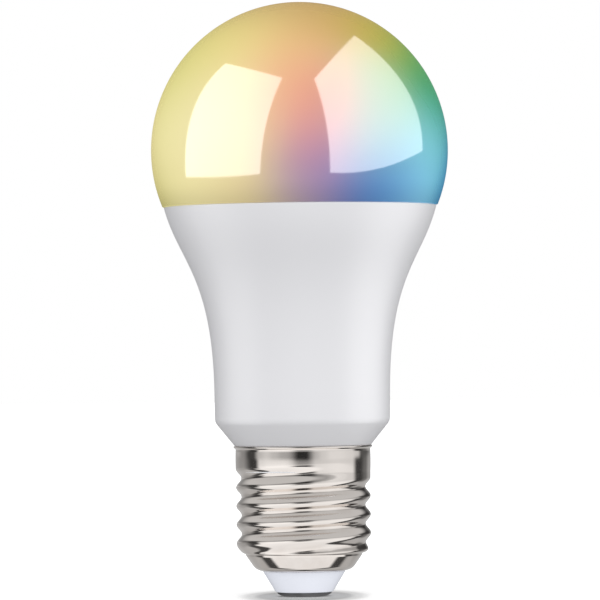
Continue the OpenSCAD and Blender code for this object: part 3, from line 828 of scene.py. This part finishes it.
# What polished metal sees of the studio: level by degrees up, and how much of it is left by degrees
# round from the front, above the horizon, below it, and low down towards the table
METAL_UP = [(-90, 1.0), (-72, 1.0), (-45, 1.08), (-25, 1.15), (-4, 1.12), (-1, 0.92), (2, 0.84), (5, 0.88),
            (9, 0.55), (15, 0.45), (24, 0.64), (90, 0.64)]
METAL_ROUND_ABOVE = [(-180, 0.70), (-150, 0.60), (-124, 0.33), (-104, 0.07), (-94, 0.07), (-80, 0.68),
                     (-65, 0.82), (-49, 0.68), (-34, 0.53), (-20, 0.46), (0, 0.44), (21, 0.66), (35, 0.86),
                     (50, 1.0), (65, 1.0), (90, 0.92), (107, 0.80), (119, 0.12), (150, 0.08), (168, 0.35),
                     (180, 0.70)]
METAL_ROUND_BELOW = [(-180, 0.5), (-126, 0.34), (-98, 0.05), (-89, 0.05), (-78, 0.90), (-60, 1.0),
                     (-34, 1.0), (-20, 0.9), (-2, 0.62), (8, 0.62), (22, 0.76), (60, 0.84), (92, 0.80),
                     (105, 0.05), (114, 0.05), (132, 0.16), (152, 0.40), (180, 0.5)]
METAL_ROUND_LOW = [(-180, 0.04), (-171, 0.10), (-160, 0.42), (-126, 0.46), (-116, 0.06), (-104, 0.06),
                   (-95, 0.95), (95, 0.95), (104, 0.06), (116, 0.06), (126, 0.46), (160, 0.42),
                   (171, 0.10), (180, 0.04)]
# The dark camera and its stand, straight ahead: how dark by degrees round, and its share by degrees up
METAL_CAMERA = [(-26, 0.0), (-7, 0.93), (5, 0.93), (24, 0.0)]
METAL_CAMERA_SHARE = [(-30, 0.0), (-23, 1.0), (-12, 1.0), (-8, 0.25), (-4, 0.25), (-1, 0.5), (1, 1.0),
                      (10, 1.0), (20, 0.7), (28, 0.0)]


def room_walls(radius):
    """A ball round the whole stage. Two such balls must differ in radius, or rays miss one of them."""
    mesh = bmesh.new()
    bmesh.ops.create_uvsphere(mesh, u_segments=48, v_segments=24, radius=radius)
    return mesh


def dim_room(receivers):
    """What every piece but the cap mirrors: a dark room over a paler table."""
    def level(tree, azimuth, elevation):
        return ramp(tree, elevation, [(-90, 0.20), (-25, 0.14), (0, 0.09), (90, 0.09)])

    emitter("dim_room", room_walls(3.3), level, receivers, sampled=False)


def metal_studio(receivers):
    """The room that polished metal mirrors: a white table, soft boxes round the sides and a grey ceiling."""
    def level(tree, azimuth, elevation):
        up = ramp(tree, elevation, METAL_UP)
        low, below, above = [ramp(tree, azimuth, stops)
                             for stops in (METAL_ROUND_LOW, METAL_ROUND_BELOW, METAL_ROUND_ABOVE)]
        straight_down, ceiling = (1, 1, 1), (0.97, 0.97, 0.97)
        floor_level = mixed(tree, remap(tree, elevation, -88.0, -66.0, 0.0, 1.0), straight_down, low)
        lower = mixed(tree, remap(tree, elevation, -34.0, -20.0, 0.0, 1.0), floor_level, below)
        upper = mixed(tree, remap(tree, elevation, 18.0, 32.0, 0.0, 1.0), above, ceiling)
        round_it = mixed(tree, remap(tree, elevation, -0.5, 1.0, 0.0, 1.0), lower, upper)
        camera_there = calc(tree, "MULTIPLY", ramp(tree, azimuth, METAL_CAMERA),
                            ramp(tree, elevation, METAL_CAMERA_SHARE))
        room = calc(tree, "MULTIPLY", up, round_it)
        return calc(tree, "MULTIPLY", room, calc(tree, "SUBTRACT", 1.0, camera_there))

    emitter("metal_studio", room_walls(3.0), level, receivers, sampled=False)


def camera():
    """Long lens at the height of the bulb's waist, aimed at its middle, with a slight roll."""
    data = bpy.data.cameras.new("camera")
    data.sensor_width, data.lens = 36, 291.8
    data.clip_start, data.clip_end = 0.05, 20
    made = bpy.data.objects.new("camera", data)
    scene.collection.objects.link(made)
    made.location = (-0.00023, -0.95, 0.047)
    aim = Vector((-0.00023, 0, 0.0578)) - made.location
    roll = Quaternion((0, 0, 1), math.radians(-0.66))
    made.rotation_mode = "QUATERNION"
    made.rotation_quaternion = aim.to_track_quat("-Z", "Y") @ roll
    scene.camera = made


# ---- the scene ----

scene.view_settings.view_transform = "Standard"
camera()
studio_world()
floor()
globe = diffuser_globe()
housing = housing_shell()
cap = screw_shell()
insulator = cap_insulator()
plate = centre_contact()
soft_light("key_right", 50, 20, 0.8, 0.5, 0.22)
soft_light("key_left", -50, 20, 0.8, 0.5, 0.14)
soft_light("front", 0, 28, 0.8, 0.5, 0.30)
soft_light("back", 180, 30, 0.9, 0.6, 0.40)

left_edge, right_edge = [[mirrored(*p) for p in bowed(window)] for window in (LEFT_WINDOW, RIGHT_WINDOW)]
reflector("box_left", left_edge, (-20, 2.0), (-100, 2.27), [globe], GLOBE_Z)
reflector("box_right", right_edge, (20, 2.36), (120, 1.80), [globe], GLOBE_Z)
reflector("side_left", side_box(-60, -112), (-60, 2.0), (-112, 2.0), [housing], 50)
reflector("side_right", side_box(62, 122), (62, 2.7), (122, 2.7), [housing], 50)
metal_studio([cap])
dim_room([globe, housing, insulator, plate, *frame["nodes"].values()])
finish_inner_pieces()
